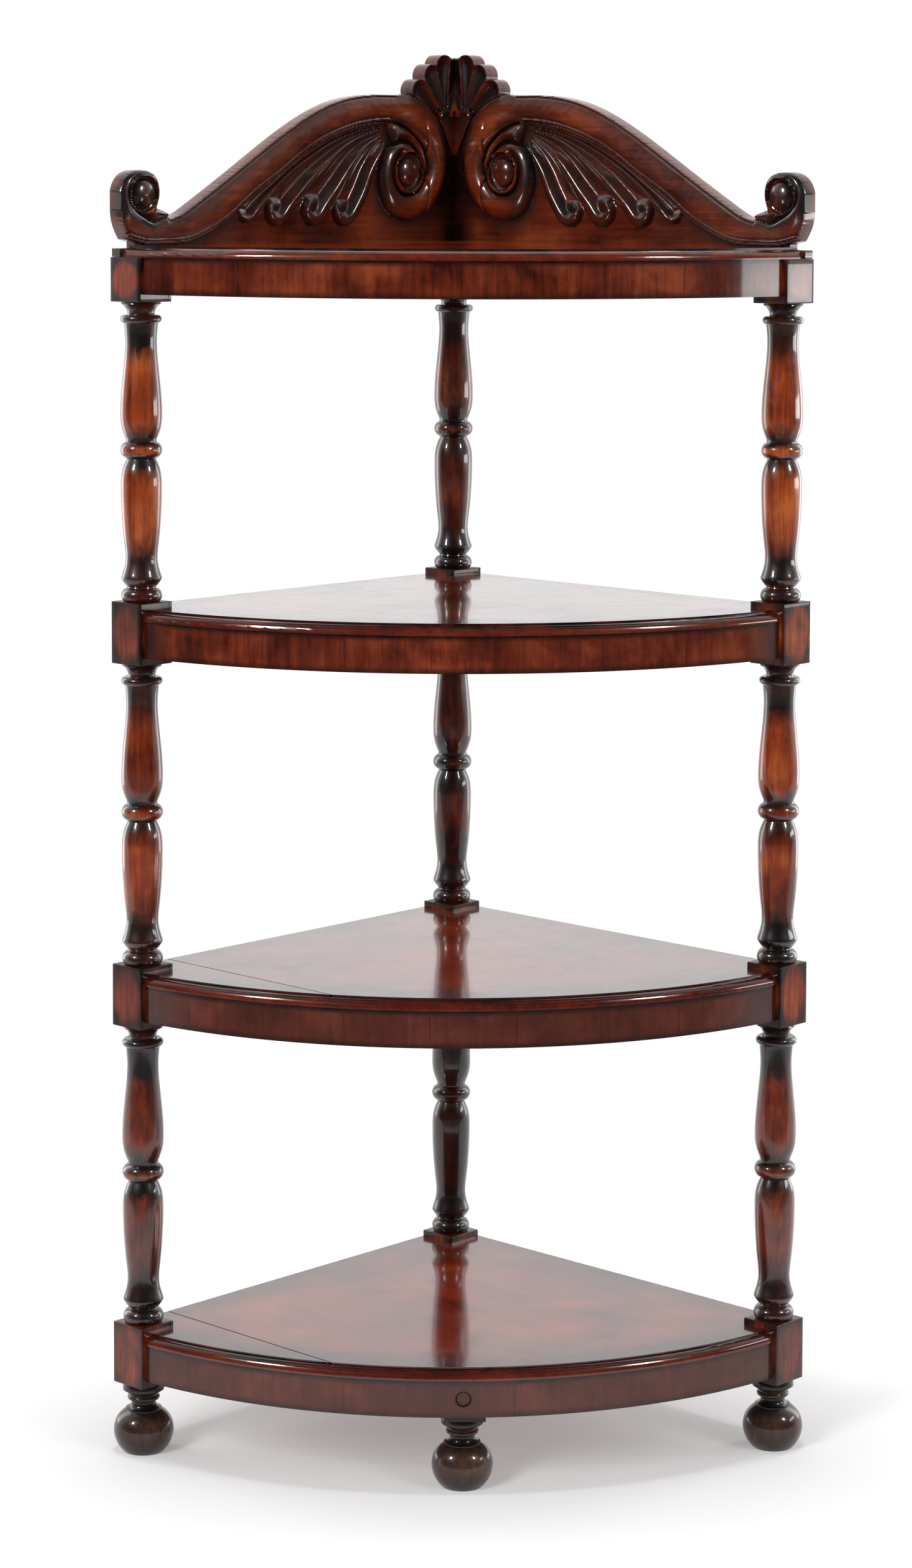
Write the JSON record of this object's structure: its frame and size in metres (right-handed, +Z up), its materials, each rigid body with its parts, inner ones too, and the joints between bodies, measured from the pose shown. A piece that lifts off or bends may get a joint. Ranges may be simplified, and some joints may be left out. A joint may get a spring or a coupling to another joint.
{
  "type": "corner whatnot",
  "caption": "Corner whatnot in polished mahogany: quarter-round shelves on turned posts and ball feet, with a scroll-carved pediment.",
  "frame": {"origin": "floor level, at the middle of the whole object's width and depth", "axes": "+Z up; the bowed front faces -Y, the right-angled corner is at +Y; +X to the right seen from the front"},
  "size_m": [0.687, 0.4821, 1.391],
  "materials": {
    "mahogany": "French-polished mahogany, glossy, darkened at the edges",
    "turned_mahogany": "French-polished turned mahogany, dark in the grooves",
    "carved_mahogany": "French-polished carved mahogany, dark in the recesses",
    "mahogany_veneer": "upright-grained mahogany veneer, French polished",
    "steel": "old iron wood screw, dull"
  },
  "bodies": {
    "root": {"back_foot": "turned_mahogany", "bottom_back_block": "mahogany", "bottom_frieze": "mahogany", "bottom_frieze_veneer": "mahogany_veneer", "bottom_left_block": "mahogany", "bottom_left_rail": "mahogany", "bottom_right_block": "mahogany", "bottom_right_rail": "mahogany", "bottom_shelf": "mahogany", "bottom_shelf_strip": "mahogany", "foot_plug": "mahogany", "foot_screw": "steel", "front_foot": "turned_mahogany", "front_foot_block": "mahogany", "left_foot": "turned_mahogany", "left_pediment": "carved_mahogany", "left_shell": "carved_mahogany", "lower_back_post": "turned_mahogany", "lower_left_post": "turned_mahogany", "lower_right_post": "turned_mahogany", "middle_back_block": "mahogany", "middle_back_post": "turned_mahogany", "middle_frieze": "mahogany", "middle_frieze_veneer": "mahogany_veneer", "middle_left_block": "mahogany", "middle_left_post": "turned_mahogany", "middle_left_rail": "mahogany", "middle_right_block": "mahogany", "middle_right_post": "turned_mahogany", "middle_right_rail": "mahogany", "middle_shelf": "mahogany", "middle_shelf_strip": "mahogany", "pediment_dowels": "carved_mahogany", "right_foot": "turned_mahogany", "right_pediment": "carved_mahogany", "right_shell": "carved_mahogany", "top_back_block": "mahogany", "top_board": "mahogany", "top_frieze": "mahogany", "top_frieze_veneer": "mahogany_veneer", "top_left_block": "mahogany", "top_left_rail": "mahogany", "top_right_block": "mahogany", "top_right_rail": "mahogany", "upper_back_block": "mahogany", "upper_back_post": "turned_mahogany", "upper_frieze": "mahogany", "upper_frieze_veneer": "mahogany_veneer", "upper_left_block": "mahogany", "upper_left_post": "turned_mahogany", "upper_left_rail": "mahogany", "upper_right_block": "mahogany", "upper_right_post": "turned_mahogany", "upper_right_rail": "mahogany", "upper_shelf": "mahogany"}
  },
  "joints": []
}
